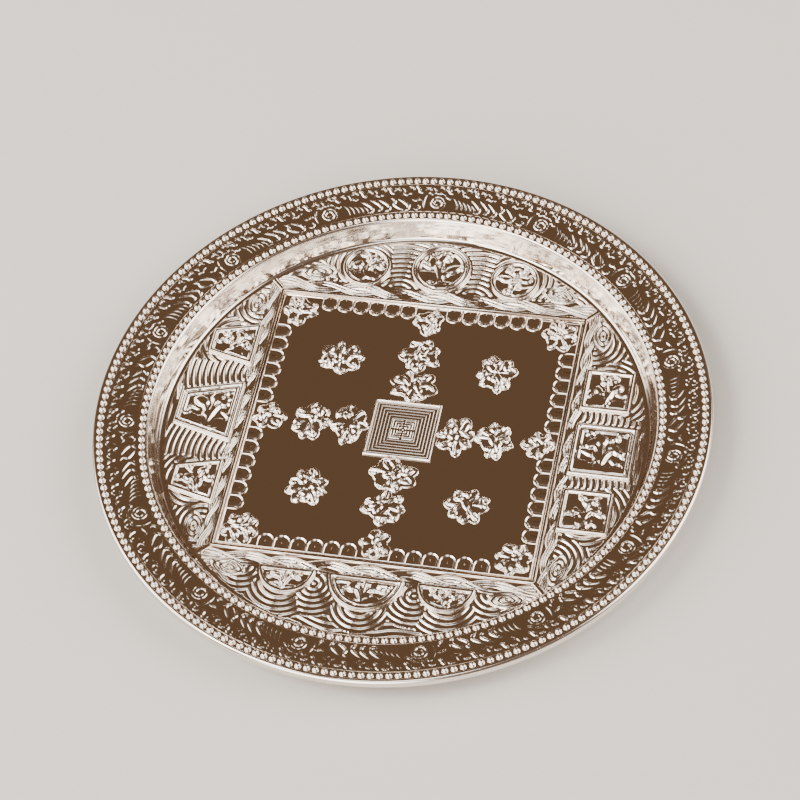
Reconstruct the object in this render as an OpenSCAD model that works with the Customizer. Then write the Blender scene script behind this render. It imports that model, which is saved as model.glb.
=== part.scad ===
// Round offering plate: a shallow sheet-metal dish with a broad sloping brim.
// The dish carries applied relief: two rows of beads and a band of scrolls on the brim,
// and on its floor a square frame, a petal border, a stepped square medallion,
// ornaments, four stretches of rippled sea and twelve small plaques.
// The plate lies flat with its floor's underside on z = 0 and its centre on the z axis.

/* [Dish] */
// Diameter of the flat floor, measured at the foot of the wall
floor_d = 240; // [195:1:330]
// How far the wall leans outwards between the floor and the brim
wall_lean = 3.5; // [2:0.1:8]
// Height of the plate's outer edge above the upper face of the floor
depth = 15.7; // [12:0.1:24]
// Width of the brim, from the top of the wall to the outer edge
brim_w = 26.5; // [20:0.5:40]
// How far the brim falls from its outer edge to the top of the wall
brim_drop = 4; // [0:0.1:6]
// Thickness of the sheet metal
sheet = 1; // [0.6:0.05:1.5]
// Radius of the bend between the floor and the wall
foot_bend = 2; // [1:0.1:4]
// Radius of the bend between the wall and the brim
shoulder_bend = 1.8; // [1.7:0.1:4]
// Radius of the bend that turns the outer edge down
edge_bend = 1.7; // [1.6:0.1:3]
// How far the turned edge hangs below its bend
edge_hem = 0.6; // [0.2:0.1:2]

/* [Beading] */
// Diameter of one bead
bead_d = 3.2; // [2:0.1:4]
// Distance from one bead to the next along its row
bead_pitch = 4.2; // [4:0.1:6]
// Plain margin between the outer row's strip and the plate's edge
edge_margin = 2; // [2:0.1:5]
// Plain margin between the inner row's strip and the top of the wall
wall_margin = 0.6; // [0.6:0.1:3]
// Thickness of the strips that carry the beads, and of the scroll band's ground
strip_t = 0.4; // [0.3:0.1:1]

/* [Scroll band] */
// Number of scroll groups around the brim
scroll_count = 15; // [9:1:24]
// Radius of the largest turn of a scroll
scroll_r = 4.5; // [3:0.1:5]
// Thickness of the raised lines of the scroll band
line_d = 1.4; // [0.8:0.1:2]

/* [Floor frame] */
// Length of the mitre bars between the frame's corners and the foot of the wall
mitre_l = 9; // [6:0.5:16]
// Width of the frame's raised line
frame_w = 2; // [1.2:0.1:4]
// Height of the frame above the floor
frame_h = 1.6; // [1:0.1:3]

/* [Petal border] */
// Width of one petal
petal_w = 7.6; // [5:0.1:10]
// Distance from one petal to the next
petal_pitch = 8.1; // [7.8:0.1:12]
// Length of a petal from the frame towards the centre
petal_l = 8; // [6:0.1:12]
// Height of a petal's rim above the floor
petal_h = 1.3; // [0.8:0.1:2]

/* [Medallion] */
// Side of the square medallion in the middle
medallion_w = 33.2; // [24:0.2:44]
// Number of square steps between its border and its middle
medallion_steps = 8; // [4:1:10]
// Side of its plain middle
medallion_core = 10; // [6:0.5:14]
// Height of its middle above the floor
medallion_h = 2.6; // [1.6:0.1:4]

/* [Ornaments] */
// Width of the corner ornaments
corner_w = 17.6; // [12:0.2:20]
// Width of the mid-side ornaments
side_w = 16; // [12:0.2:20]
// Width of the arm ornaments, across the arm
arm_w = 22.5; // [16:0.5:26]
// Width of the four ornaments in the quarters of the field
quarter_w = 20.5; // [14:0.5:22]
// Distance, along x and along y, from a corner ornament to its quarter's ornament
quarter_back = 27; // [23:0.5:32]
// Height of the ornaments above the floor
ornament_h = 2.4; // [1.6:0.1:4]

/* [Plaques] */
// Width of the rope between the frame and the discs and half-moons
rope_w = 7; // [5:0.1:9]
// Space between the frame and the squares and trapezoids
side_rope_w = 4.6; // [3:0.1:7]
// Space between a middle plaque and the foot of the wall
plaque_reach = 4.5; // [3:0.1:9]
// Space between an outer plaque's far corner and the foot of the wall
corner_reach = 3; // [2.5:0.1:6]
// Distance between the middles of the discs, and of the half-moons
plaque_pitch = 38.2; // [36:0.2:44]
// Radius of the middle half-moon
moon_r = 18; // [14:0.5:19]
// Radius of the two outer half-moons
small_moon_r = 13.6; // [10:0.2:15]
// Distance from the plate's centre line to the near side of an outer square
square_offset = 23.5; // [20:0.5:28]
// Distance from the plate's centre line to the near side of an outer trapezoid
trapezoid_offset = 29; // [24:0.5:32]
// Length of the middle trapezoid's long side
trapezoid_w = 36; // [28:1:44]
// Length of an outer trapezoid's long side
small_trapezoid_w = 25; // [18:1:28]
// Width of the raised rim round each plaque
rim_w = 1.5; // [1:0.1:2.5]
// Height of that rim above the floor
rim_h = 2; // [1.4:0.1:3]

/* [Sea] */
// Thickness of the ground of the sea between the frame and the wall
sea_t = 0.5; // [0.4:0.1:1]
// Height of the sea's ridges above the floor
ridge_h = 1.4; // [1:0.1:2.4]
// Width of one ridge
ridge_w = 1.3; // [0.8:0.1:2]
// Distance from one ripple to the next
ripple_pitch = 3.4; // [2.8:0.1:6]

/* [Fits] */
// Space between neighbouring pieces on the floor and the brim
piece_gap = 0.3; // [0.2:0.05:0.6]

/* [Hidden] */
$fn = 96;

silver = "silver";
bright = "gainsboro";
worn = "lightgray";

// Dish
floor_r = floor_d / 2;
well_r = floor_r + wall_lean;
plate_r = well_r + brim_w;
plate_h = sheet + depth;
shoulder_z = plate_h - brim_drop;
brim_slope = brim_drop / brim_w;
brim_angle = atan(brim_slope);
bend_steps = 8;

// Beading and scroll band
strip_w = bead_d + 0.6;
notch_w = bead_pitch - bead_d;
outer_row_r = plate_r - edge_margin - strip_w / 2;
inner_row_r = well_r + wall_margin + strip_w / 2;
band_in = inner_row_r + strip_w / 2 + piece_gap;
band_out = outer_row_r - strip_w / 2 - piece_gap;
scroll_row_r = band_in + scroll_r + line_d / 2;
scroll_step = 360 / scroll_count;

// Floor frame, petals and field
seat_r = floor_r - foot_bend - piece_gap;
frame_out = (floor_r - mitre_l) / sqrt(2);
frame_in = frame_out - frame_w;
rail_w = 1;
petal_in = frame_in - piece_gap;
field_in = petal_in - rail_w - piece_gap;
corner_at = field_in - corner_w / 2;
petal_from = side_w / 2 + piece_gap;
petal_to = corner_at - corner_w / 2 - piece_gap;
petal_count = floor((petal_to - petal_from) / petal_pitch);
medallion_half = medallion_w / 2;
tier_h = ornament_h * 0.55;
dome_foot = tier_h / 2;
blossom_steps = 84;
lobe_depth = 0.2;
body_share = 0.2;
lobe_share = 0.09;
lobe_at = 0.31;
lobe_rise = 0.75;
arm_step = (field_in - medallion_half) / 3;
arm_l = arm_step - piece_gap * 2;
outer_arm_l = min(arm_l, 2 * (field_in - side_w - piece_gap - medallion_half - arm_step * 1.5));
quarter_at = corner_at - quarter_back;

// Plaques: a disc, square or trapezoid reaches from the rope to the wall
scene_back = 0.42;
wedge_scene = 0.36;
moon_scene = 0.4;
scene_sink = 0.2;
wave_l = 27;
wave_steps = 36;
rope_swing = 0.3;
eye_r = 6;
eye_place = 0.86;
disc_in = frame_out + rope_w;
disc_mid_r = (floor_r - plaque_reach - disc_in) / 2;
disc_out = floor_r - corner_reach;
disc_side_r = (disc_out ^ 2 - plaque_pitch ^ 2 - disc_in ^ 2) / (2 * (disc_in + disc_out));
box_in = frame_out + side_rope_w;
box_out = floor_r - corner_reach;
box_mid_w = solve_square(box_in, floor_r - plaque_reach - 1.5);
box_side_w = solve_corner(box_in, square_offset, box_out);
wedge_mid_l = floor_r - plaque_reach - 2 - box_in;
wedge_side_l = sqrt(box_out ^ 2 - (trapezoid_offset + small_trapezoid_w * 0.7) ^ 2) - box_in - 1;
wedge_taper = 0.55;
plaque_t = 0.6;

// Side of a square centred on an axis, from near to a far corner on radius reach
function solve_square(near, reach) =
    (-2 * near + sqrt(4 * near ^ 2 + 5 * (reach ^ 2 - near ^ 2))) / 2.5;

// Side of a square whose near corner is at [near, offset] and far corner on radius reach
function solve_corner(near, offset, reach) =
    (sqrt((near + offset) ^ 2 + 2 * (reach ^ 2 - near ^ 2 - offset ^ 2)) - near - offset) / 2;

// Height of the brim's upper face at a distance r from the axis
function brim_z(r) = plate_h - (plate_r - r) * brim_slope;

function unit(v) = v / norm(v);
function left_of(v) = [-v[1], v[0]];
function turned(v, a) = [v[0] * cos(a) - v[1] * sin(a), v[0] * sin(a) + v[1] * cos(a)];

// Points with their normals along the bend of radius r that rounds the corner at b
function bend(a, b, c, r) = let(
    u = unit(b - a),
    v = unit(c - b),
    turn = atan2(u[0] * v[1] - u[1] * v[0], u * v),
    side = sign(turn),
    start = b - u * r * tan(abs(turn) / 2),
    centre = start + left_of(u) * r * side
) [
    for (i = [0:bend_steps]) let(n = turned(left_of(u), turn * i / bend_steps))
        [centre - n * r * side, n]
];

function upper_face() = let(
    foot = [floor_r, sheet],
    shoulder = [well_r, shoulder_z],
    edge = [plate_r, plate_h],
    hem = [plate_r, plate_h - 2 * edge_bend - edge_hem]
) concat(
    [[[0, sheet], [0, 1]]],
    bend([0, sheet], foot, shoulder, foot_bend),
    bend(foot, shoulder, edge, shoulder_bend),
    bend(shoulder, edge, hem, edge_bend),
    [[hem, [1, 0]]]
);

module dish() {
    face = upper_face();
    upper = [for (q = face) q[0]];
    lower = [for (i = [len(face) - 1:-1:0]) face[i][0] - sheet * face[i][1]];
    color(silver) rotate_extrude() polygon(concat(upper, lower));
}

// A conical strip that lies on the brim between two radii
module brim_strip(from_r, to_r) {
    rotate_extrude() polygon([
        [from_r, brim_z(from_r)],
        [to_r, brim_z(to_r)],
        [to_r, brim_z(to_r) + strip_t],
        [from_r, brim_z(from_r) + strip_t],
    ]);
}

// Puts its child on the brim at radius r and angle a, tilted with the brim
module on_brim(r, a) {
    rotate([0, 0, a]) translate([r, 0, brim_z(r) + strip_t / 2]) rotate([0, -brim_angle, 0]) children();
}

// A bead row: a half-round roll on a flat strip, notched between one bead and the next
module bead_row(row_r) {
    count = floor(2 * PI * row_r / bead_pitch);
    difference() {
        union() {
            brim_strip(row_r - strip_w / 2, row_r + strip_w / 2);
            rotate_extrude() translate([row_r, brim_z(row_r) + strip_t / 2]) rotate(brim_angle)
                intersection() {
                    circle(d = bead_d, $fn = 24);
                    translate([-bead_d, 0]) square([2 * bead_d, bead_d]);
                }
        }
        for (i = [0:count - 1]) on_brim(row_r, 360 * (i + 0.5) / count)
            translate([-strip_w, -notch_w / 2, strip_t * 0.7])
                cube([2 * strip_w, notch_w, bead_d]);
    }
}

module outer_beading() { color(bright) bead_row(outer_row_r); }

module inner_beading() { color(bright) bead_row(inner_row_r); }

// Outline of a raised line that winds from radius r1 to r2 over an angle
function winding(r1, r2, sweep, steps) = let(
    radii = [for (i = [0:steps]) r1 + (r2 - r1) * i / steps]
) concat(
    [for (i = [0:steps]) (radii[i] + line_d / 2) * turned([1, 0], sweep * i / steps)],
    [for (i = [steps:-1:0]) (radii[i] - line_d / 2) * turned([1, 0], sweep * i / steps)]
);

// Snail scroll of nearly two turns
module scroll() {
    linear_extrude(line_d) polygon(winding(scroll_r, scroll_r * 0.25, 700, 28));
}

// One short curved stroke of the cloud pattern
module stroke() {
    linear_extrude(line_d) polygon(winding(scroll_r * 0.7, scroll_r * 0.7, 140, 5));
}

module scroll_band() {
    color(worn) {
        brim_strip(band_in, band_out);
        for (i = [0:scroll_count - 1]) {
            on_brim(scroll_row_r, (i + 0.25) * scroll_step) scroll();
            for (k = [1:4]) on_brim(band_out - line_d * 4, (i + 0.52 + 0.13 * k) * scroll_step)
                rotate([0, 0, 20 + 25 * k]) stroke();
        }
    }
}

module square_ring(outer, inner, h) {
    linear_extrude(h) difference() {
        square(2 * outer, center = true);
        square(2 * inner, center = true);
    }
}

module floor_frame() {
    bar_from = frame_out * sqrt(2) - frame_w;
    color(bright) translate([0, 0, sheet]) {
        square_ring(frame_out, frame_in, frame_h);
        for (a = [45:90:315]) rotate([0, 0, a]) translate([bar_from, -frame_w / 2, 0])
            cube([seat_r - bar_from, frame_w, frame_h]);
    }
}

// A petal that points along -y from the rail, with a raised rim and a sunk middle
module petal() {
    bow = petal_w / 2;
    straight = petal_l - bow;
    difference() {
        linear_extrude(petal_h) union() {
            translate([-bow, -straight]) square([petal_w, straight]);
            translate([0, -straight]) circle(bow);
        }
        translate([0, -straight, plaque_t]) cylinder(r = bow - 1, h = petal_h);
    }
}

module petal_border() {
    color(bright) translate([0, 0, sheet]) {
        square_ring(petal_in, petal_in - rail_w, petal_h);
        for (a = [0:90:270]) rotate([0, 0, a]) for (s = [-1, 1]) for (i = [0:petal_count - 1])
            translate([s * (petal_from + petal_pitch * (i + 0.5)), petal_in - rail_w / 2, 0]) petal();
    }
}

module medallion() {
    step_w = (medallion_half - frame_w - medallion_core / 2) / medallion_steps;
    step_h = (medallion_h - plaque_t) / medallion_steps;
    color(bright) translate([0, 0, sheet]) {
        square_ring(medallion_half, medallion_half - frame_w / 2, frame_h);
        linear_extrude(plaque_t) square(medallion_w - frame_w / 2, center = true);
        for (k = [1:medallion_steps]) linear_extrude(plaque_t + k * step_h)
            square(medallion_w - 2 * (frame_w + k * step_w), center = true);
    }
}

// Low dome with a base of radius a and a height h, standing on z = 0
module dome(a, h) {
    ball_r = (a ^ 2 + h ^ 2) / (2 * h);
    difference() {
        translate([0, 0, h - ball_r]) sphere(ball_r, $fn = 48);
        translate([0, 0, -2 * ball_r]) cube(ball_r * 4, center = true);
    }
}

// Outline of a blossom: an oval of width w and length l, drawn in between its lobes
function blossom(w, l, lobes) = [
    for (i = [0:blossom_steps - 1]) let(
        a = 360 * i / blossom_steps,
        oval = 1 / sqrt((2 * cos(a) / w) ^ 2 + (2 * sin(a) / l) ^ 2),
        notch = lobe_depth * (1 - abs(cos(lobes * (a - 90) / 2)))
    ) oval * (1 - notch) * turned([1, 0], a)
];

// Blossom ornament: a lobed tier, a middle dome and a small dome on each lobe
module ornament(w, l, lobes) {
    small = min(w, l);
    color(bright) translate([0, 0, sheet]) {
        linear_extrude(tier_h) polygon(blossom(w, l, lobes));
        translate([0, 0, dome_foot]) {
            dome(small * body_share, ornament_h - dome_foot);
            for (i = [0:lobes - 1]) let(a = 90 + 360 * i / lobes)
                translate([w * lobe_at * cos(a), l * lobe_at * sin(a), 0])
                    dome(small * lobe_share, (ornament_h - dome_foot) * lobe_rise);
        }
    }
}

module corner_ornament(i) {
    rotate([0, 0, 90 * i]) translate([corner_at, corner_at, 0]) ornament(corner_w, corner_w, 7);
}

module side_ornament(a) {
    rotate([0, 0, a]) translate([0, field_in - side_w / 2, 0]) ornament(side_w, side_w, 6);
}

module arm_ornament(a, place) {
    rotate([0, 0, a]) translate([0, medallion_half + arm_step * (place + 0.5), 0])
        ornament(arm_w, place == 0 ? arm_l : outer_arm_l, 7 - place);
}

module quarter_ornament(i) {
    rotate([0, 0, 90 * i]) translate([quarter_at, quarter_at, 0]) ornament(quarter_w, quarter_w, 6);
}

// Outlines of the plaques, grown by a margin g; all point along +y from the plate's centre
module disc_outline(place, g) {
    r = place == 0 ? disc_mid_r : disc_side_r;
    translate([place * plaque_pitch, disc_in + r]) circle(r + g);
}

module square_outline(place, g) {
    w = place == 0 ? box_mid_w : box_side_w;
    x = place == 0 ? -w / 2 : place > 0 ? square_offset : -square_offset - w;
    translate([x - g, box_in - g]) square(w + 2 * g);
}

module trapezoid_outline(place, g) {
    w = place == 0 ? trapezoid_w : small_trapezoid_w;
    l = place == 0 ? wedge_mid_l : wedge_side_l;
    x = place * (trapezoid_offset + w / 2);
    near = w / 2 + g * 1.2;
    far = w / 2 * wedge_taper + g * 1.2;
    lean = place * -1;
    polygon([
        [x - near, box_in - g],
        [x + near, box_in - g],
        [x + far + lean, box_in + l + g],
        [x - far + lean, box_in + l + g],
    ]);
}

module moon_outline(place, g) {
    r = place == 0 ? moon_r : small_moon_r;
    intersection() {
        translate([place * plaque_pitch, disc_in]) circle(r + g);
        translate([place * plaque_pitch - r - 1, disc_in - g]) square([2 * r + 2, r + 2]);
    }
}

module outline(kind, place, g) {
    if (kind == "disc") disc_outline(place, g);
    if (kind == "square") square_outline(place, g);
    if (kind == "trapezoid") trapezoid_outline(place, g);
    if (kind == "moon") moon_outline(place, g);
}

// Where a plaque's small scene stands: [x, y, free radius]
function scene_at(kind, place) = let(middle = place == 0) (
    kind == "disc" ? let(r = middle ? disc_mid_r : disc_side_r)
        [place * plaque_pitch, disc_in + r, r - rim_w] :
    kind == "square" ? let(r = (middle ? box_mid_w : box_side_w) / 2)
        [place * (square_offset + box_side_w / 2), box_in + r, r - rim_w] :
    kind == "trapezoid" ? let(l = middle ? wedge_mid_l : wedge_side_l)
        [place * (trapezoid_offset + small_trapezoid_w / 2), box_in + l * scene_back,
            l * wedge_scene - rim_w / 2] :
    let(r = middle ? moon_r : small_moon_r)
        [place * plaque_pitch, disc_in + r * scene_back, r * moon_scene - rim_w / 2]
);

// A plaque: ground, raised rim and a low scene of three hills
module plaque(a, kind, place) {
    scene = scene_at(kind, place);
    hill = scene[2] / 2;
    hill_ring = hill * 0.8;
    color(bright) rotate([0, 0, a]) translate([0, 0, sheet]) {
        linear_extrude(plaque_t) outline(kind, place, 0);
        linear_extrude(rim_h) difference() {
            outline(kind, place, 0);
            outline(kind, place, -rim_w);
        }
        for (k = [0:2]) let(a = 90 + 120 * k)
            translate([scene[0] + hill_ring * cos(a), scene[1] + hill_ring * sin(a), 0])
                dome(hill, rim_h - scene_sink);
    }
}

// Ground plan of one stretch of sea, between the frame, two mitre bars and the wall
module sea_plan(kind) {
    apex = frame_w / 2 * sqrt(2) + piece_gap * sqrt(2);
    far = plate_r * 2;
    difference() {
        intersection() {
            circle(seat_r);
            polygon([[0, apex], [far, far + apex], [-far, far + apex]]);
            translate([-far, frame_out + piece_gap]) square([2 * far, far]);
        }
        for (place = [-1:1]) outline(kind, place, piece_gap);
    }
}

// Points of a wave along x at height y, half a ridge to either side
function wave_y(x, swing) = swing * sin(360 * x / wave_l);
function wave_line(y, swing, reach) = let(
    xs = [for (i = [0:wave_steps]) reach * (2 * i / wave_steps - 1)]
) concat(
    [for (i = [0:wave_steps]) [xs[i], y + wave_y(xs[i], swing) + ridge_w / 2]],
    [for (i = [wave_steps:-1:0]) [xs[i], y + wave_y(xs[i], swing) - ridge_w / 2]]
);

module sea(a, kind, rope) {
    color(worn) rotate([0, 0, a]) translate([0, 0, sheet]) {
        linear_extrude(sea_t) sea_plan(kind);
        linear_extrude(ridge_h) intersection() {
            sea_plan(kind);
            union() {
                for (way = [-1, 1])
                    polygon(wave_line(frame_out + piece_gap + rope / 2, way * rope * rope_swing, frame_out));
                for (s = [-1, 1]) for (r = [eye_r:ripple_pitch:eye_r + 3 * ripple_pitch])
                    translate([s * frame_out * eye_place, frame_out + rope]) difference() {
                        circle(r);
                        circle(r - ridge_w);
                    }
            }
        }
        linear_extrude(ridge_h) intersection() {
            sea_plan(kind);
            difference() {
                circle(seat_r);
                circle(seat_r - ridge_w);
            }
        }
    }
}

module sea_top() { sea(0, "disc", rope_w); }
module sea_left() { sea(90, "trapezoid", side_rope_w); }
module sea_bottom() { sea(180, "moon", rope_w); }
module sea_right() { sea(270, "square", side_rope_w); }

module disc_middle() { plaque(0, "disc", 0); }
module disc_left() { plaque(0, "disc", -1); }
module disc_right() { plaque(0, "disc", 1); }
module trapezoid_middle() { plaque(90, "trapezoid", 0); }
module trapezoid_upper() { plaque(90, "trapezoid", 1); }
module trapezoid_lower() { plaque(90, "trapezoid", -1); }
module halfmoon_middle() { plaque(180, "moon", 0); }
module halfmoon_left() { plaque(180, "moon", 1); }
module halfmoon_right() { plaque(180, "moon", -1); }
module square_middle() { plaque(270, "square", 0); }
module square_upper() { plaque(270, "square", -1); }
module square_lower() { plaque(270, "square", 1); }

dish();
outer_beading();
inner_beading();
scroll_band();
floor_frame();
petal_border();
medallion();
sea_top();
sea_left();
sea_bottom();
sea_right();
disc_middle();
disc_left();
disc_right();
trapezoid_middle();
trapezoid_upper();
trapezoid_lower();
halfmoon_middle();
halfmoon_left();
halfmoon_right();
square_middle();
square_upper();
square_lower();
corner_ornament(0);  // corner_ornament_1
corner_ornament(1);  // corner_ornament_2
corner_ornament(2);  // corner_ornament_3
corner_ornament(3);  // corner_ornament_4
side_ornament(0);  // side_ornament_top
side_ornament(90);  // side_ornament_left
side_ornament(180);  // side_ornament_bottom
side_ornament(270);  // side_ornament_right
arm_ornament(0, 1);  // arm_top_outer
arm_ornament(0, 0);  // arm_top_inner
arm_ornament(90, 1);  // arm_left_outer
arm_ornament(90, 0);  // arm_left_inner
arm_ornament(180, 1);  // arm_bottom_outer
arm_ornament(180, 0);  // arm_bottom_inner
arm_ornament(270, 1);  // arm_right_outer
arm_ornament(270, 0);  // arm_right_inner
quarter_ornament(0);  // quarter_ornament_1
quarter_ornament(1);  // quarter_ornament_2
quarter_ornament(2);  // quarter_ornament_3
quarter_ornament(3);  // quarter_ornament_4
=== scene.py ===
# %% [markdown]
# # A struck silver-plated offering plate
# The plate is a shallow round dish with a broad sloping brim. Every surface inside the outer edge
# carries relief that a die has struck into the sheet: beads, scrolls, a square court with petals and a
# stepped middle, a sea of ripples, and twelve little plaques. This lesson rebuilds each element as a real
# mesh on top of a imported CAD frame, so the first step loads that frame and notes its box.

# %% Load the frame
import math

import bmesh
import bpy
import numpy as np
from mathutils import Matrix, Vector


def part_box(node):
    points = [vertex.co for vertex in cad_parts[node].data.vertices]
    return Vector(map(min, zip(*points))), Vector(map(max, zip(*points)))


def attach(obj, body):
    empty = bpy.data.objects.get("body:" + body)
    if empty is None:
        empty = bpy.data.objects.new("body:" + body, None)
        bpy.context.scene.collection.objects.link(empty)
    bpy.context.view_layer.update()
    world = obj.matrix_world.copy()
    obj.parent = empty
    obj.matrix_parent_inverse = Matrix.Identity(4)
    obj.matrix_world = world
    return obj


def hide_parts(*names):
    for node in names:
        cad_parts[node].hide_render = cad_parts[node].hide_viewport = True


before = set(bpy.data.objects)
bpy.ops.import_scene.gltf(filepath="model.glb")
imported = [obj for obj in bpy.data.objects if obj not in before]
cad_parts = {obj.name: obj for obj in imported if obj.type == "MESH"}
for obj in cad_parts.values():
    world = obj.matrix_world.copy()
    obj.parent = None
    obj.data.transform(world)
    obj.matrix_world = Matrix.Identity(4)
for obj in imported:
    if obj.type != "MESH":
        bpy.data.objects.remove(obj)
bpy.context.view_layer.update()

MM = 0.001
rng = np.random.default_rng(7)
print("CAD nodes:", len(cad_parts))

# %% [markdown]
# Sizes come from the frame wherever a node's box states them. The dish is one bent sheet, and a box says
# nothing about its bends, so those few sizes are named here in millimetres. They are the maker's own
# dimensions for the sheet, and the print at the end compares them with the frame.

# %% Sizes
def box_mm(node):
    """Lowest and highest corner of a CAD node, in millimetres."""
    low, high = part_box(node)
    return np.array(low) / MM, np.array(high) / MM


FLOOR_Z = box_mm("floor_frame")[0][2]
FOOT_Z = FLOOR_Z - 0.02  # pieces on the floor stand a hair inside the sheet
PLATE_R = 150.0
FLOOR_R = 120.0
WALL_LEAN = 3.5
BRIM_W = 26.5
BRIM_DROP = 4.0
DEPTH = 15.7
SHEET = 1.0
FOOT_BEND, SHOULDER_BEND, EDGE_BEND, EDGE_HEM = 2.0, 1.8, 1.7, 0.6
WELL_R = FLOOR_R + WALL_LEAN
PLATE_H = SHEET + DEPTH
SLOPE = BRIM_DROP / BRIM_W
FRAME_W = 2.0
SEAT_R = box_mm("sea_top")[1][1]
FRAME_OUT = box_mm("sea_top")[0][1] - 0.3
print(f"floor at {FLOOR_Z:.2f} mm, edge at {PLATE_R} mm, CAD edge at {box_mm('dish')[1][0]:.2f} mm")


def brim_z(r):
    """Height of the brim's upper face at radius r."""
    return PLATE_H - (PLATE_R - r) * SLOPE


# %% [markdown]
# ## Silver plating
# The real finish is bright silver plating over struck and polished sheet. Silver reflects red a little
# better than blue, so its own colour is a warm near-white, and everything else that the eye sees in it is
# a reflection of the room. Polishing leaves it almost mirror-smooth on the flats and a touch duller in
# the relief, where the wheel can't reach. That gives one material function: metallic 1, the default IOR,
# a low roughness that varies a little, a bump as fine as the polish marks, and hairline scratches.

# %% Material helpers
def linear(hex_colour):
    """sRGB hex to a linear RGBA colour."""
    parts = [int(hex_colour[i:i + 2], 16) / 255 for i in (1, 3, 5)]
    return [c / 12.92 if c <= 0.04045 else ((c + 0.055) / 1.055) ** 2.4 for c in parts] + [1.0]


def add_node(tree, kind, inputs=None, **settings):
    """Adds a node, sets its properties, and fills or links its inputs."""
    node = tree.nodes.new(kind)
    for key, value in settings.items():
        setattr(node, key, value)
    for key, value in (inputs or {}).items():
        if isinstance(value, bpy.types.NodeSocket):
            tree.links.new(value, node.inputs[key])
        else:
            node.inputs[key].default_value = value
    return node


def silver_plating(name, colour, roughness, polish_mm, polish_depth, scratches=0.0):
    """Bright silver plating; polish_mm is the size of the polish marks."""
    material = bpy.data.materials.new(name)
    material.use_nodes = True
    tree = material.node_tree
    shader = tree.nodes["Principled BSDF"]
    shader.inputs["Base Color"].default_value = linear(colour)
    shader.inputs["Metallic"].default_value = 1.0
    place = add_node(tree, "ShaderNodeTexCoord").outputs["Object"]
    cloud = add_node(tree, "ShaderNodeTexNoise", {"Vector": place, "Scale": 1 / (9 * MM), "Detail": 3.0})
    dull = add_node(tree, "ShaderNodeMapRange",
                    {"Value": cloud.outputs["Fac"], "From Min": 0.3, "From Max": 0.7,
                     "To Min": roughness * 0.7, "To Max": roughness * 1.3})
    tree.links.new(dull.outputs["Result"], shader.inputs["Roughness"])
    polish = add_node(tree, "ShaderNodeTexNoise",
                      {"Vector": place, "Scale": 1 / (polish_mm * MM), "Detail": 2.0})
    bump = add_node(tree, "ShaderNodeBump",
                    {"Height": polish.outputs["Fac"], "Strength": 1.0, "Distance": polish_depth * MM})
    if scratches:
        bump = scratch_bump(tree, place, bump, scratches)
    tree.links.new(bump.outputs["Normal"], shader.inputs["Normal"])
    return material


def scratch_bump(tree, place, under, depth_mm):
    """Hairline scratches: thin lines where a stretched noise passes through one high value."""
    level, half_width = 0.62, 0.004
    for angle, across_mm, along_mm in ((0.5, 5.0, 60.0), (-1.1, 7.0, 80.0)):
        turn = add_node(tree, "ShaderNodeMapping", {"Vector": place, "Rotation": (0, 0, angle)})
        scale = (1 / (along_mm * MM), 1 / (across_mm * MM), 1.0)
        stretch = add_node(tree, "ShaderNodeMapping", {"Vector": turn.outputs["Vector"], "Scale": scale})
        wave = add_node(tree, "ShaderNodeTexNoise", {"Vector": stretch.outputs["Vector"], "Scale": 1.0})
        offset = add_node(tree, "ShaderNodeMath", {0: wave.outputs["Fac"], 1: level}, operation="SUBTRACT")
        near = add_node(tree, "ShaderNodeMath", {0: offset.outputs[0]}, operation="ABSOLUTE")
        line = add_node(tree, "ShaderNodeMapRange",
                        {"Value": near.outputs[0], "From Min": 0.0, "From Max": half_width,
                         "To Min": 0.0, "To Max": 1.0})
        under = add_node(tree, "ShaderNodeBump",
                         {"Height": line.outputs["Result"], "Normal": under.outputs["Normal"],
                          "Strength": 1.0, "Distance": depth_mm * MM})
    return under


def brushed_wall(material, from_mm, to_mm, roughness):
    """Makes the finish duller above a height, where the wheel runs round the steep wall."""
    tree = material.node_tree
    shader = tree.nodes["Principled BSDF"]
    flat = shader.inputs["Roughness"].links[0].from_socket
    place = add_node(tree, "ShaderNodeTexCoord").outputs["Object"]
    height = add_node(tree, "ShaderNodeSeparateXYZ", {"Vector": place}).outputs["Z"]
    climb = add_node(tree, "ShaderNodeMapRange",
                     {"Value": height, "From Min": from_mm * MM, "From Max": to_mm * MM,
                      "To Min": 0.0, "To Max": 1.0}).outputs["Result"]
    blend = add_node(tree, "ShaderNodeMix", {"Factor": climb, "A": flat, "B": roughness})
    tree.links.new(blend.outputs[0], shader.inputs["Roughness"])


# %% [markdown]
# Seven finishes cover the plate. They share the silver's colour almost to a shade and differ in how far
# the polishing wheel reached, which the eye sees as sharp or soft reflections. The last two numbers of each
# are the size of its unevenness and its depth, in millimetres.

# %% The finishes
# The dish is the polished sheet itself: nearly a mirror, with faint waves from the press, and its wall is
# brushed round by the wheel.
polished_sheet = silver_plating("silver_plated_polished_sheet", "#F3E9DF", 0.055, 22, 0.010, scratches=0.008)
brushed_wall(polished_sheet, SHEET + 0.3, SHEET + 3.0, 0.14)
# Beads and borders get the wheel on their tops only, so they are a little softer.
struck_beads = silver_plating("silver_plated_struck_beads", "#F5ECE3", 0.12, 0.8, 0.010)
struck_border = silver_plating("silver_plated_struck_border", "#F4EAE0", 0.09, 1.2, 0.008)
# The die's chased ground shows in the scrolls, the sea and the plaques as a fine unevenness.
struck_scrolls = silver_plating("silver_plated_struck_scrolls", "#F1E7DC", 0.10, 1.0, 0.020)
struck_sea = silver_plating("silver_plated_struck_sea", "#F1E7DC", 0.12, 0.9, 0.025)
struck_plaques = silver_plating("silver_plated_struck_plaques", "#F3E9DF", 0.11, 0.9, 0.025)
struck_ornaments = silver_plating("silver_plated_struck_ornaments", "#F5ECE3", 0.10, 1.1, 0.025)
print("materials:", len(bpy.data.materials))

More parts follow.
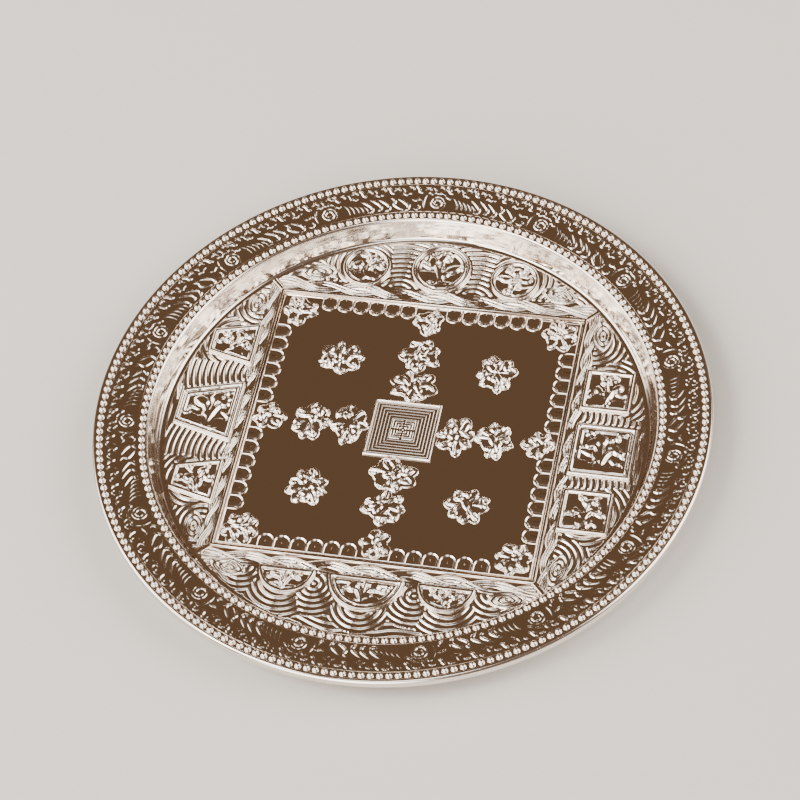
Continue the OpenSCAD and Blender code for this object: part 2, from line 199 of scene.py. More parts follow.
# %% [markdown]
# ## From a sheet of heights to a solid piece
# Struck relief is a height over every point of a surface. So each piece is first a grid of points with
# heights, laid over its own outline: a ring for the brim, a disc, a square or a slanted patch for the
# plaques. Small functions close such a grid into a solid: top, rim and a flat foot. Then one function
# makes the object: it turns every face outwards, counts the open edges, of which a solid has none, and
# keeps only the rim's edges sharp, so that the metal reflects as one skin.

# %% Mesh helpers
def make_piece(name, solids, material, nodes):
    """One object from a list of closed solids, each a pair of points in mm and faces."""
    points, faces, start = [], [], 0
    for solid_points, solid_faces in solids:
        points.append(np.asarray(solid_points, float))
        faces += [tuple(i + start for i in face) for face in solid_faces]
        start += len(solid_points)
    mesh = bpy.data.meshes.new(name)
    mesh.from_pydata((np.concatenate(points) * MM).tolist(), [], faces)
    shell = bmesh.new()
    shell.from_mesh(mesh)
    bmesh.ops.recalc_face_normals(shell, faces=shell.faces)
    open_edges = sum(not edge.is_manifold for edge in shell.edges)
    shell.to_mesh(mesh)
    shell.free()
    mesh.polygons.foreach_set("use_smooth", [True] * len(mesh.polygons))
    mesh.set_sharp_from_angle(angle=math.radians(70))
    mesh.validate()
    piece = bpy.data.objects.new(name, mesh)
    bpy.context.scene.collection.objects.link(piece)
    mesh.materials.append(material)
    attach(piece, "root")
    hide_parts(*nodes)
    print(f"{name}: {len(mesh.polygons)} faces, {open_edges} open edges")
    return piece


def turn_angles(count):
    """Evenly spaced angles round one full turn, in radians."""
    return np.linspace(0, 2 * math.pi, count, endpoint=False)


def grid_quads(index):
    """Quads of a grid of point numbers."""
    return np.stack([index[:-1, :-1], index[1:, :-1], index[1:, 1:], index[:-1, 1:]], -1).reshape(-1, 4)


def patch_solid(top, foot_z):
    """A closed solid under a four-sided grid of points, with a flat foot."""
    rows, columns = top.shape[:2]
    index = np.arange(rows * columns).reshape(rows, columns)
    edge = np.concatenate([index[0], index[1:, -1], index[-1, -2::-1], index[-2:0:-1, 0]])
    foot = top.reshape(-1, 3)[edge].copy()
    foot[:, 2] = foot_z
    foot_index = np.arange(len(edge)) + rows * columns
    sides = np.stack([edge, np.roll(edge, -1), np.roll(foot_index, -1), foot_index], -1)
    faces = [*map(tuple, grid_quads(index).tolist()), *map(tuple, sides[:, ::-1].tolist()),
             tuple(foot_index.tolist())]
    return np.concatenate([top.reshape(-1, 3), foot]), faces


def ring_solid(top, foot_z):
    """A closed ring under a grid round the axis; foot_z gives the foot's height at a radius."""
    rows, columns = top.shape[:2]
    index = np.arange(rows * columns).reshape(rows, columns)
    points = [top.reshape(-1, 3)]
    loops = []
    for column in (0, columns - 1):
        foot = top[:, column].copy()
        foot[:, 2] = foot_z(np.hypot(foot[:, 0], foot[:, 1]))
        loops.append(np.arange(rows) + rows * columns + len(loops) * rows)
        points.append(foot)
    around = np.column_stack([loops[0], index, loops[1], loops[0]])
    around = np.vstack([around, around[:1]])
    return np.concatenate(points), [*map(tuple, grid_quads(around).tolist())]


def disc_solid(top, foot_z):
    """A closed solid under a polar grid whose last column is one middle point."""
    rows, columns = top.shape[:2]
    index = np.arange(rows * (columns - 1)).reshape(rows, columns - 1)
    wrapped = np.vstack([index, index[:1]])
    foot = top[:, 0].copy()
    foot[:, 2] = foot_z
    middle = rows * (columns - 1)
    foot_index = np.arange(rows) + middle + 1
    points = np.concatenate([top[:, :-1].reshape(-1, 3), top[:1, -1], foot])
    faces = [*map(tuple, grid_quads(wrapped).tolist())]
    for i in range(rows):
        after = (i + 1) % rows
        faces.append((int(index[i, -1]), int(index[after, -1]), middle))
        faces.append((int(index[after, 0]), int(index[i, 0]), int(foot_index[i]), int(foot_index[after])))
    faces.append(tuple(int(i) for i in foot_index[::-1]))
    return points, faces


def lathe_solid(profile, steps, closed=True):
    """A shape of revolution from (radius, height) points; closed joins the last point to the first."""
    profile = np.asarray(profile, float)
    angles = turn_angles(steps)
    points = np.stack([np.outer(np.cos(angles), profile[:, 0]), np.outer(np.sin(angles), profile[:, 0]),
                       np.tile(profile[:, 1], (steps, 1))], -1)
    index = np.arange(steps * len(profile)).reshape(steps, len(profile))
    around = np.column_stack([index, index[:, :1]]) if closed else index
    around = np.vstack([around, around[:1]])
    return points.reshape(-1, 3), [*map(tuple, grid_quads(around).tolist())]


# %% [markdown]
# ## The chaser's tools
# A chaser draws with a handful of punches: a liner that raises a rounded line along a path, and a doming
# punch that raises a lump. Both are written here as functions that add to a grid of heights. Lines follow
# smooth paths through a few chosen points, or arcs and spirals. The highest stroke wins, as it does when
# strokes cross in metal.

# %% Relief helpers
def smooth_path(points, per_span=7):
    """A smooth curve through chosen points (Catmull-Rom)."""
    p = np.asarray(points, float)
    p = np.vstack([2 * p[0] - p[1], p, 2 * p[-1] - p[-2]])
    t = np.linspace(0, 1, per_span, endpoint=False)[:, None]
    spans = [0.5 * (2 * b + (c - a) * t + (2 * a - 5 * b + 4 * c - d) * t ** 2
                    + (3 * b - a - 3 * c + d) * t ** 3)
             for a, b, c, d in zip(p, p[1:], p[2:], p[3:])]
    return np.vstack([*spans, p[-2][None]])


def arc_path(x, y, r, start, end, r_end=None, steps=None):
    """An arc, or a spiral when r_end is given; angles in degrees."""
    steps = steps or max(6, int(abs(end - start) / 14))
    angles = np.radians(np.linspace(start, end, steps))
    radii = np.linspace(r, r if r_end is None else r_end, steps)
    return np.column_stack([x + radii * np.cos(angles), y + radii * np.sin(angles)])


def raise_line(heights, x, y, path, width, rise, tip=0.35):
    """Raises a rounded line along a path, thinner towards its two ends."""
    count = len(path) - 1
    for k, (a, b) in enumerate(zip(path, path[1:])):
        low, high = np.minimum(a, b) - width / 2, np.maximum(a, b) + width / 2
        near = (x > low[0]) & (x < high[0]) & (y > low[1]) & (y < high[1])
        if not near.any():
            continue
        px, py, d = x[near] - a[0], y[near] - a[1], b - a
        t = np.clip((px * d[0] + py * d[1]) / max(d @ d, 1e-9), 0, 1)
        full = tip + (1 - tip) * np.sin(math.pi * (k + t) / count).clip(0, 1) ** 0.6
        q = np.hypot(px - t * d[0], py - t * d[1]) / (full * width / 2)
        heights[near] = np.maximum(heights[near], rise * full * np.clip(1 - q ** 2, 0, 1))


def raise_dome(heights, x, y, cx, cy, rx, ry, turn, rise):
    """Raises an oval lump."""
    c, s = math.cos(math.radians(turn)), math.sin(math.radians(turn))
    u = ((x - cx) * c + (y - cy) * s) / rx
    v = ((y - cy) * c - (x - cx) * s) / ry
    heights[:] = np.maximum(heights, rise * np.clip(1 - u ** 2 - v ** 2, 0, 1) ** 0.6)


# %% [markdown]
# ## The dish
# The dish is one sheet: flat floor, steep wall, brim that falls towards the wall, and an edge turned down
# so that it isn't sharp. Metal shops spin or press such a shape, so it is a lathe form here too. The
# outline is the sheet's upper face with rounded bends, and the lower face is the same line one sheet
# thickness further down. A hand-polished wall is never quite true, so its upper face gets slow waves of a
# few hundredths of a millimetre, which is what makes its reflections stream.

# %% Dish
ROUND_STEPS = 720
MIDDLE_R = 0.5
WALL_WAVES = ((5, 0.4), (9, 2.0), (14, 1.1), (23, 3.0), (41, 0.7), (67, 1.9))  # how many round, phase
WAVE_DEPTH, RIPPLE_DEPTH = 0.09, 0.03


def bend(a, b, c, r, steps=10):
    """Points and normals along the round bend that replaces corner b."""
    a, b, c = map(np.array, (a, b, c))
    u, v = (b - a) / np.linalg.norm(b - a), (c - b) / np.linalg.norm(c - b)
    turn = math.atan2(u[0] * v[1] - u[1] * v[0], u @ v)
    side = math.copysign(1, turn)
    left = np.array([-u[1], u[0]])
    centre = b - u * r * math.tan(abs(turn) / 2) + left * r * side
    angles = turn * np.linspace(0, 1, steps)
    normals = np.column_stack([left[0] * np.cos(angles) - left[1] * np.sin(angles),
                               left[0] * np.sin(angles) + left[1] * np.cos(angles)])
    return centre - normals * r * side, normals


def dish_profile():
    """Upper and lower line of the sheet from the middle outwards, and which upper points are the wall."""
    foot, shoulder, edge = (FLOOR_R, SHEET), (WELL_R, PLATE_H - BRIM_DROP), (PLATE_R, PLATE_H)
    hem = (PLATE_R, PLATE_H - 2 * EDGE_BEND - EDGE_HEM)
    foot_line, foot_ways = bend((0, SHEET), foot, shoulder, FOOT_BEND)
    shoulder_line, shoulder_ways = bend(foot, shoulder, edge, SHOULDER_BEND)
    edge_line, edge_ways = bend(shoulder, edge, hem, EDGE_BEND)
    wall = np.linspace(foot_line[-1], shoulder_line[0], 20)[1:-1]
    wall_ways = np.repeat(foot_ways[-1:], len(wall), 0)
    upper = np.vstack([(MIDDLE_R, SHEET), foot_line, wall, shoulder_line, edge_line, hem])
    ways = np.vstack([(0, 1), foot_ways, wall_ways, shoulder_ways, edge_ways, (1, 0)])
    first = 1 + len(foot_line)
    return upper, upper - SHEET * ways, range(first, first + len(wall))


def dish_solid():
    """The turned sheet with a wavy wall; one flat face closes each side in the middle."""
    upper, lower, wall = dish_profile()
    points, faces = lathe_solid(np.vstack([upper, lower[::-1]]), ROUND_STEPS, closed=False)
    rings = points.reshape(ROUND_STEPS, -1, 3)
    angle = turn_angles(ROUND_STEPS)
    wave = sum(np.sin(count * angle + phase) / count for count, phase in WALL_WAVES)
    for step, ring in enumerate(wall, 1):
        climb = step / (len(wall) + 1)
        swell = WAVE_DEPTH * wave + RIPPLE_DEPTH * np.sin(13 * angle + 17 * climb)
        swell *= math.sin(math.pi * climb)
        rings[:, ring, 0] += swell * np.cos(angle)
        rings[:, ring, 1] += swell * np.sin(angle)
    columns = rings.shape[1]
    middles = [tuple(range(first, len(points), columns)) for first in (0, columns - 1)]
    return points, faces + middles


make_piece("plate_dish", [dish_solid()], polished_sheet, ["dish"])

# %% [markdown]
# ## Bead rows
# A beading punch walks round the edge and raises one half ball after another. Each bead is a dome of
# revolution, tilted with the brim, on a narrow strip. Counting from the row's length and the pitch closes
# the row evenly.

# %% Bead rows
BEAD_D = 3.2
BEAD_PITCH = 4.2
BEAD_LIFT, BEAD_FOOT = 0.15, -0.1
STRIP_W = BEAD_D + 0.6
STRIP_T, STRIP_EDGE_T, STRIP_RUN_OUT = 0.1, 0.04, 0.6
OUTER_ROW_R = PLATE_R - 2.0 - STRIP_W / 2
INNER_ROW_R = WELL_R + 0.6 + STRIP_W / 2


def bead_solid(r, angle, around=16, up=6):
    """A half ball on the brim at radius r and an angle in radians."""
    levels = np.linspace(0, math.pi / 2, up, endpoint=False)
    turns = turn_angles(around)
    ball = BEAD_D / 2
    x = ball * np.outer(np.cos(turns), np.cos(levels))
    y = ball * np.outer(np.sin(turns), np.cos(levels))
    z = np.tile(ball * np.sin(levels), (around, 1))
    top = np.stack([x, y, z], -1)
    top = np.concatenate([top, np.tile([0.0, 0.0, ball], (around, 1, 1))], 1)
    points, faces = disc_solid(top, BEAD_FOOT)
    tilt = Matrix.Rotation(angle, 3, "Z") @ Matrix.Rotation(-math.atan(SLOPE), 3, "Y")
    place = [r * math.cos(angle), r * math.sin(angle), brim_z(r) + BEAD_LIFT]
    return points @ np.array(tilt).T + place, faces


def strip_solid(r):
    """A low ring on the sloping brim that runs out softly at both sides."""
    inner, outer = r - STRIP_W / 2, r + STRIP_W / 2
    outline = [(inner, STRIP_EDGE_T), (inner + STRIP_RUN_OUT, STRIP_T), (outer - STRIP_RUN_OUT, STRIP_T),
               (outer, STRIP_EDGE_T), (outer, -0.05), (inner, -0.05)]
    return lathe_solid([(q, brim_z(q) + lift) for q, lift in outline], ROUND_STEPS)


for row_name, row_r in (("outer_beading", OUTER_ROW_R), ("inner_beading", INNER_ROW_R)):
    count = int(2 * math.pi * row_r / BEAD_PITCH)
    beads = [bead_solid(row_r, 2 * math.pi * (i + 0.25) / count) for i in range(count)]
    make_piece(row_name + "_struck", [strip_solid(row_r), *beads],
               struck_beads, [row_name])
    print(row_name, "beads:", count)

# %% [markdown]
# ## The scroll band
# Between the bead rows one die has struck the same design fifteen times: a snail scroll, a run of leaning
# strokes like reeds in wind, and small clouds with hooked ends. So the design is chased once on a flat
# tile, in millimetres along the brim (s) and out from its inner edge (t), and the tile is then wrapped
# round the brim fifteen times. The ground between the strokes stays flat and bright.

# %% The scroll tile
SCROLLS = 15
BAND_IN = box_mm("inner_beading")[1][0] + 0.3
BAND_OUT = box_mm("scroll_band")[1][0]
BAND_W = BAND_OUT - BAND_IN
BAND_T = 0.12
TILE_L = 2 * math.pi * (BAND_IN + BAND_OUT) / 2 / SCROLLS


def scroll_strokes():
    """The strokes of one tile: (path, width, height) with s along the brim and t outwards."""
    snail, thin, mid, bold = (0.95, 0.42), (0.9, 0.32), (1.1, 0.37), (1.6, 0.5)
    strokes = [(arc_path(6.5, 5.2, 4.4, -90, 700, r_end=0.7), *snail),
               (arc_path(6.5, 5.2, 6.1, 20, 135), *thin),
               (arc_path(7.4, 5.0, 8.0, 140, 205), *mid),
               (arc_path(6.5, 6.0, 8.3, 35, 75), *thin)]
    for k in range(5):
        s, high = 15.2 + 2.45 * k, 9.2 - 0.8 * k
        strokes.append((smooth_path([(s - 1.0, high), (s + 1.7, high * 0.62), (s + 2.3, 0.8)]), *thin))
    for s, t in ((26.6, 8.2), (31.2, 8.6), (35.6, 8.0), (45.6, 7.6)):
        strokes.append((smooth_path([(s - 2.6, t + 0.4), (s + 0.4, t - 1.8), (s + 2.6, t - 4.0),
                                     (s + 2.6, t - 6.0), (s + 0.8, t - 6.8)]), *bold))
    strokes += [(smooth_path([(39.6, 8.8), (41.6, 6.8), (41.0, 4.6), (43.4, 2.4), (45.8, 1.2)]), *bold),
                (smooth_path([(50.6, 2.0), (53.0, 1.2), (54.4, 2.8), (53.2, 4.4)]), *mid),
                (smooth_path([(50.0, 7.8), (52.0, 6.4), (54.4, 7.2), (56.2, 6.0)]), *mid),
                (smooth_path([(26.2, 1.4), (28.2, 2.2), (30.0, 1.0)]), *mid),
                (smooth_path([(35.6, 1.0), (37.6, 2.2), (38.4, 4.2)]), *mid),
                (smooth_path([(47.6, 1.4), (49.0, 3.4), (48.6, 5.4)]), *mid)]
    for k, s in enumerate((1.6, 8.4, 15.4, 22.0, 29.2, 36.0, 43.2, 50.2)):
        t = 12.6 + 0.6 * (k % 2)
        strokes.append((arc_path(s, t, 1.6, 210 - 30 * (k % 3), -50, r_end=1.0), *mid))
        strokes.append((smooth_path([(s + 2.0, t + 1.8), (s + 3.6, t + 0.4), (s + 4.2, t - 1.6),
                                     (s + 5.6, t - 2.2)]), *(bold if k % 2 else mid)))
        if k % 2:
            strokes.append((smooth_path([(s - 2.4, t - 1.6), (s - 0.8, t - 2.6), (s + 0.8, t - 2.0)]), *thin))
    for s, t in ((2.6, 10.6), (11.6, 8.2), (20.8, 10.4), (32.6, 10.6), (46.6, 10.2)):
        strokes.append((smooth_path([(s - 1.8, t - 0.6), (s - 0.4, t + 0.6), (s + 1.0, t - 0.4),
                                     (s + 2.2, t + 0.5)]), *mid))
    return strokes


def scroll_tile(cells_s=190, cells_t=52):
    """One tile as a grid: distance from the band's inner edge, and height."""
    s, t = np.meshgrid(np.linspace(0, TILE_L, cells_s, endpoint=False),
                       np.linspace(0, BAND_W, cells_t), indexing="ij")
    heights = np.zeros_like(s)
    for path, width, rise in scroll_strokes():
        for shift in (-TILE_L, 0, TILE_L):
            raise_line(heights, s, t, path + [shift, 0], width, rise)
    return t, heights


def scroll_band_solid():
    """The tile wrapped clockwise round the brim."""
    t, heights = (np.tile(part, (SCROLLS, 1)) for part in scroll_tile())
    angle = -turn_angles(len(t))[:, None]
    r = BAND_IN + t
    top = np.stack([r * np.cos(angle), r * np.sin(angle), brim_z(r) + BAND_T + heights], -1)
    return ring_solid(top, lambda q: brim_z(q) - 0.02)


make_piece("scroll_band_struck", [scroll_band_solid()], struck_scrolls, ["scroll_band"])

# %% [markdown]
# ## The square court: frame, petals and stepped middle
# The frame is a plain rounded line round the square with a mitre bar from each corner to the wall. A line
# like this is a profile swept along a path, so it is built as a straight bar with a rounded top, whose
# ends are cut at 45 degrees where two bars meet.

# %% Floor frame
FRAME_H = 1.5
MITRE_W, MITRE_H = 2.6, 1.45


def bar_solid(start, end, width, rise, slant=0.0, flat=True):
    """A bar on the floor from start to end; slant moves its two edges apart to mitre the ends.

    A flat bar has a flat top with rounded edges, and the other kind is round all over.
    """
    start, end = np.array(start, float), np.array(end, float)
    along = (end - start) / np.linalg.norm(end - start)
    across = np.array([-along[1], along[0]])
    q = np.array([-1, -0.97, -0.8, -0.6, -0.5, 0.5, 0.6, 0.8, 0.97, 1]) if flat else np.linspace(-1, 1, 9)
    rows = []
    for base, sign in ((start, -1), (end, 1)):
        offset = q * width / 2
        points = base + np.outer(offset, across) + np.outer(sign * slant * offset, along)
        bevel = np.clip((1 - np.abs(q)) / 0.5, 0, 1) if flat else np.clip(1.02 - q ** 2, 0, 1)
        z = FLOOR_Z + rise * np.sqrt(1.02 - (1 - bevel) ** 2) if flat else FLOOR_Z + rise * np.sqrt(bevel)
        rows.append(np.column_stack([points, z]))
    return patch_solid(np.stack(rows), FOOT_Z)


def frame_solids():
    """Four mitred sides and four bars from the corners to the wall."""
    middle = FRAME_OUT - FRAME_W / 2
    corners = [(-middle, middle), (middle, middle), (middle, -middle), (-middle, -middle)]
    solids = [bar_solid(corners[i], corners[(i + 1) % 4], FRAME_W, FRAME_H, slant=1.0) for i in range(4)]
    start, reach = FRAME_OUT - 0.6, SEAT_R / math.sqrt(2)
    for x, y in ((1, 1), (-1, 1), (-1, -1), (1, -1)):
        solids.append(bar_solid((x * start, y * start), (x * reach, y * reach), MITRE_W, MITRE_H))
    return solids


make_piece("floor_frame_struck", frame_solids(), struck_border, ["floor_frame"])

# %% [markdown]
# The petals hang from a thin rail inside the frame. Each is a tongue with a thin raised rim round a low
# cushion. A grid that runs from the tongue's outline in to its spine follows that shape, so the rim stays
# crisp with few points.

# %% Petal border
PETAL_W, PETAL_L, PETAL_PITCH = 8.08, 8.0, 8.1
RAIL_IN = box_mm("petal_border")[1][0] - 1.0
PETAL_FROM = box_mm("side_ornament_top")[1][0] + 0.3
PETALS = 6
RAIL_W, RAIL_H = 1.0, 1.25
RIM_H, CUSHION_H = 0.55, 0.7


def petal_grid():
    """One petal pointing along -y from the origin, as a grid from its outline to its spine."""
    bow = PETAL_W / 2
    straight = PETAL_L - bow
    left = np.column_stack([np.full(6, -bow), np.linspace(0, -straight, 6)])
    right = np.column_stack([np.full(6, bow), np.linspace(-straight, 0, 6)])
    outline = np.vstack([left, arc_path(0, -straight, bow, 180, 360, steps=23)[1:-1], right])
    spine = np.column_stack([np.zeros(len(outline)), np.clip(outline[:, 1], -straight, 0)])
    inward = np.linspace(0, 0.97, 15)
    depth = inward * bow
    rim = (0.6 + 0.4 * (-outline[:, 1] / PETAL_L) ** 2)[:, None]
    crest = RIM_H * np.sin(math.pi * np.clip(depth / rim, 0, 1) ** 0.6) ** 0.8
    cushion = CUSHION_H * np.clip(1 - ((bow - depth) / (bow - rim)) ** 2, 0, 1) ** 0.9
    z = 0.15 + crest + cushion
    xy = outline[:, None] + (spine - outline)[:, None] * inward[None, :, None]
    return np.concatenate([xy, z[..., None]], -1)


def turned_z(points, degrees):
    """Points turned about the plate's axis."""
    c, s = math.cos(math.radians(degrees)), math.sin(math.radians(degrees))
    turned = points.copy()
    turned[..., 0] = points[..., 0] * c - points[..., 1] * s
    turned[..., 1] = points[..., 0] * s + points[..., 1] * c
    return turned


def petal_solids():
    """A rail and two rows of petals for each side of the court."""
    grid = petal_grid()
    half = RAIL_IN + RAIL_W / 2
    solids = []
    for side in range(4):
        rail, faces = bar_solid((-half, half), (half, half), RAIL_W, RAIL_H, slant=1.0, flat=False)
        solids.append((turned_z(rail, 90 * side), faces))
        for sign in (-1, 1):
            for k in range(PETALS):
                x = sign * (PETAL_FROM + PETAL_PITCH * (k + 0.5))
                top = turned_z(grid + [x, RAIL_IN + 0.45, FLOOR_Z], 90 * side)
                solids.append(patch_solid(top, FOOT_Z))
    return solids


make_piece("petal_border_struck", petal_solids(), struck_border, ["petal_border"])

# %% [markdown]
# The middle is a low stepped square like a tiered roof seen from above: a raised border, then square
# ridges that climb to a plain fret in the centre. Its height depends only on the distance to the nearest
# side of the square, max(|x|, |y|), which makes every ridge a true square with mitred corners.

# %% Medallion
MEDALLION = box_mm("medallion")[1][0]
CORE = 5.6
RIDGES = 6
BORDER_W = 1.2


def medallion_solid(cells=201):
    """The stepped square: border, ridges and fret."""
    line = np.linspace(-MEDALLION, MEDALLION, cells)
    x, y = np.meshgrid(line, line, indexing="ij")
    d = np.maximum(np.abs(x), np.abs(y))
    in_from_edge = MEDALLION - d
    climb = np.clip((in_from_edge - BORDER_W) / (MEDALLION - BORDER_W - CORE), 0, 1)
    ridge = np.sin(math.pi * np.clip(climb, 0, 0.9999) * RIDGES) ** 6
    z = 0.45 + 0.1 * climb + 0.22 * ridge * (d > CORE)
    round_top = np.sqrt(np.clip(1.02 - (2 * in_from_edge / BORDER_W - 1) ** 4, 0, 1))
    z = np.where(in_from_edge < BORDER_W, 0.3 + 1.2 * round_top, z)
    fret = np.cos(math.pi * d / 1.4) ** 4 * ((np.minimum(np.abs(x), np.abs(y)) > 0.5) | (d < 0.7))
    z = np.where(d <= CORE, 0.55 + 0.3 * fret, z)
    return patch_solid(np.stack([x, y, FLOOR_Z + z], -1), FOOT_Z)


make_piece("medallion_struck", [medallion_solid()], struck_border, ["medallion"])

# %% [markdown]
# ## The sea
# Between the court and the wall the die shows water: a braided rope of waves along the court's side,
# fans of ripples between and around the plaques, and a nested oval eddy near each corner. Ripples are the
# level lines of a distance, so each point of the sea asks which fan it belongs to and how far it lies from
# that fan's centre, and a rounded ridge is raised at every ripple. The four stretches share one recipe
# with their own fans. u runs along the side of the court and v away from the plate's centre.

# %% Sea helpers
SEA_T, SEA_GROUND, RIPPLE_H = 0.06, 0.2, 0.62
FAN_PITCH, WALL_PITCH = 3.0, 3.3


def ripple(distance, pitch):
    """Rounded ridges at every multiple of the pitch, with flat ground between them."""
    return (0.5 + 0.5 * np.cos(2 * math.pi * distance / pitch)) ** 2.8


def braid(heights, u, v, rope_w, waves):
    """Two strands of three lines that wind round each other along the court's side."""
    middle = FRAME_OUT + 0.8 + rope_w / 2
    swing = rope_w * 0.31
    wave = math.pi * waves / FRAME_OUT
    lane_w = rope_w * 0.21
    for phase, rise, lanes in ((0.0, 1.3, (-1, 0, 1)), (math.pi, 1.0, (-0.55, 0.55))):
        bend_v = middle + swing * np.cos(wave * u + phase)
        slope = np.hypot(1, swing * wave * np.sin(wave * u + phase))
        over = 0.65 + 0.35 * np.sin(wave * u + phase / 2 + 0.8)
        for lane in lanes:
            q = (v - bend_v - lane * lane_w * (0.8 + 0.3 * over)) / slope / (lane_w * 0.52)
            heights[:] = np.maximum(heights, rise * over * np.clip(1 - q ** 2, 0, 1) ** 0.8)


def eddy(heights, u, v, cu, cv, long, short, turn):
    """Nested ovals round a small almond."""
    c, s = math.cos(math.radians(turn)), math.sin(math.radians(turn))
    a = ((u - cu) * c + (v - cv) * s) / long
    b = ((v - cv) * c - (u - cu) * s) / short
    d = np.sqrt(a ** 2 + (b * (1 + 0.35 * a ** 2)) ** 2)
    inside = d < 1.08
    heights[inside] = 0.25 + ripple(d[inside] - 1.0, 0.38)


def sea_grid(cells_u=500, cells_v=125):
    """Points of one stretch of sea as (u, v), between the court's side and the foot of the wall."""
    s = np.linspace(0, 1, cells_u)[:, None]
    t = np.linspace(0, 1, cells_v)[None, :]
    near = FRAME_OUT + 0.3
    half = near - 1.9
    angle = np.radians(46.0 + 88.0 * s)
    low_u, low_v = half - 2 * half * s, near
    high_u, high_v = SEAT_R * np.cos(angle), SEAT_R * np.sin(angle)
    u = low_u * (1 - t) + high_u * t
    v = low_v * (1 - t) + high_v * t
    return u, v


def sea_heights(u, v, fans, eddies, rope_w, waves):
    """Heights of one stretch: wavy ripples along the wall, then the fans, the rope and the eddies."""
    r = np.hypot(u, v)
    drift = 1.1 * np.sin(u / 8.5) + 0.6 * np.sin(u / 3.7 + v / 5.0)
    heights = SEA_GROUND + RIPPLE_H * ripple(SEAT_R - r + drift, WALL_PITCH)
    best = np.full_like(u, np.inf)
    for cu, cv, reach in fans:
        d = np.hypot(u - cu, v - cv)
        mine = (d < reach) & (d / reach < best)
        best[mine] = d[mine] / reach
        heights[mine] = SEA_GROUND + RIPPLE_H * ripple(d[mine] - reach, FAN_PITCH)
    rope_end = FRAME_OUT + 0.6 + rope_w
    band = v < rope_end + 0.8
    heights[band] = 0.15
    braid(heights, u, v, rope_w, waves)
    for cu, cv, long, short, turn in eddies:
        eddy(heights, u, v, cu, cv, long, short, turn)
    edge = np.clip((SEAT_R - r) / 1.0, 0, 1)
    return heights * edge ** 0.5


# %% [markdown]
# A plaque's outline matters twice: the sea sinks under it, and the plaque itself is built on it. Each
# outline is a small function that says how far a point lies inside the plaque.

# %% Plaque outlines
def side_box(node, side):
    """A node's box in the (u, v) axes of its side: lowest u, highest u, lowest v, highest v."""
    low, high = box_mm(node)
    corners = np.array([[x, y] for x in (low[0], high[0]) for y in (low[1], high[1])])
    c, s = math.cos(math.radians(-90 * side)), math.sin(math.radians(-90 * side))
    u = corners[:, 0] * c - corners[:, 1] * s
    v = corners[:, 0] * s + corners[:, 1] * c
    return u.min(), u.max(), v.min(), v.max()


TAPER = 0.55


def plaque_inset(kind, b, u, v):
    """How far inside the plaque a point lies, in mm; below 0 outside."""
    u0, u1, v0, v1 = b
    mid, half = (u0 + u1) / 2, (u1 - u0) / 2
    if kind == "disc":
        return half - np.hypot(u - mid, v - (v0 + v1) / 2)
    if kind == "moon":
        return np.minimum(half - np.hypot(u - mid, v - v0), v - v0)
    if kind == "square":
        return np.minimum(np.minimum(u - u0, u1 - u), np.minimum(v - v0, v1 - v))
    lean = math.hypot(1, half * (1 - TAPER) / (v1 - v0))
    room = half * (1 - (1 - TAPER) * (v - v0) / (v1 - v0)) - np.abs(u - mid)
    return np.minimum(room / lean, np.minimum(v - v0, v1 - v))


# One row for each side of the court, from the top and turning left: its plaques, then its rope's width and
# number of half waves.
SIDES = [
    ("top", "disc", ("disc_left", "disc_middle", "disc_right"), 7.0, 4),
    ("left", "trapezoid", ("trapezoid_lower", "trapezoid_middle", "trapezoid_upper"), 4.6, 6),
    ("bottom", "moon", ("halfmoon_right", "halfmoon_middle", "halfmoon_left"), 7.0, 4),
    ("right", "square", ("square_upper", "square_middle", "square_lower"), 4.6, 6),
]
# Each fan is its centre (u, v) and its reach; each eddy its centre, half length, half width and turn.
FANS = {
    "top": [(-19, 82, 40), (19, 82, 40), (-38, 99, 21), (38, 99, 21), (-70, 84, 17), (70, 84, 17)],
    "left": [(-24, 78, 38), (24, 78, 38), (-42, 94, 24), (42, 94, 24), (-66, 86, 22), (66, 86, 22)],
    "bottom": [(-24, 92, 18), (24, 92, 18), (0, 100, 16), (-40, 92, 22), (40, 92, 22),
               (-60, 86, 20), (60, 86, 20), (-78, 82, 12), (78, 82, 12)],
    "right": [(-20, 78, 38), (20, 78, 38), (-36, 95, 26), (36, 95, 26), (-64, 84, 24), (64, 84, 24)],
}
EDDIES = {
    "top": [(-62, 91.5, 8.5, 4.6, 12), (62, 91.5, 8.5, 4.6, -12)],
    "left": [(-68, 88.5, 7.5, 4.6, 8), (68, 88.5, 7.5, 4.6, -8)],
    "bottom": [(-67, 88.5, 8.5, 4.4, 8), (67, 88.5, 8.5, 4.4, -8)],
    "right": [(-69, 87.5, 8.0, 4.4, 8), (69, 87.5, 8.0, 4.4, -8)],
}


def sea_solid(side, name, kind, plaques, rope_w, waves):
    """One stretch of sea, sunk under its plaques and low in a narrow ring round each."""
    u, v = sea_grid()
    heights = sea_heights(u, v, FANS[name], EDDIES[name], rope_w, waves)
    for node in plaques:
        inset = plaque_inset(kind, side_box(node, side), u, v)
        ring = 0.15 + np.clip(-inset - 1.0, 0, 9) * 2.0
        heights = np.where(inset > -0.2, 0.0, np.minimum(heights, ring))
    top = turned_z(np.stack([u, v, FLOOR_Z + SEA_T + heights], -1), 90 * side)
    return patch_solid(top, FOOT_Z)


for side, (name, kind, plaques, rope_w, waves) in enumerate(SIDES):
    make_piece(f"sea_{name}_struck", [sea_solid(side, name, kind, plaques, rope_w, waves)],
               struck_sea, [f"sea_{name}"])

# %% [markdown]
# ## The plaques
# Each plaque is a little tray: a raised rim, and inside it a small landscape in low relief. The real ones
# show different objects; these show generic scenery made of the same marks, hills, trees with round
# crowns, curling clouds and water, chased with the two tools from above. Every plaque gets its own
# arrangement from a seeded draw, so no two are alike, as on the real plate.

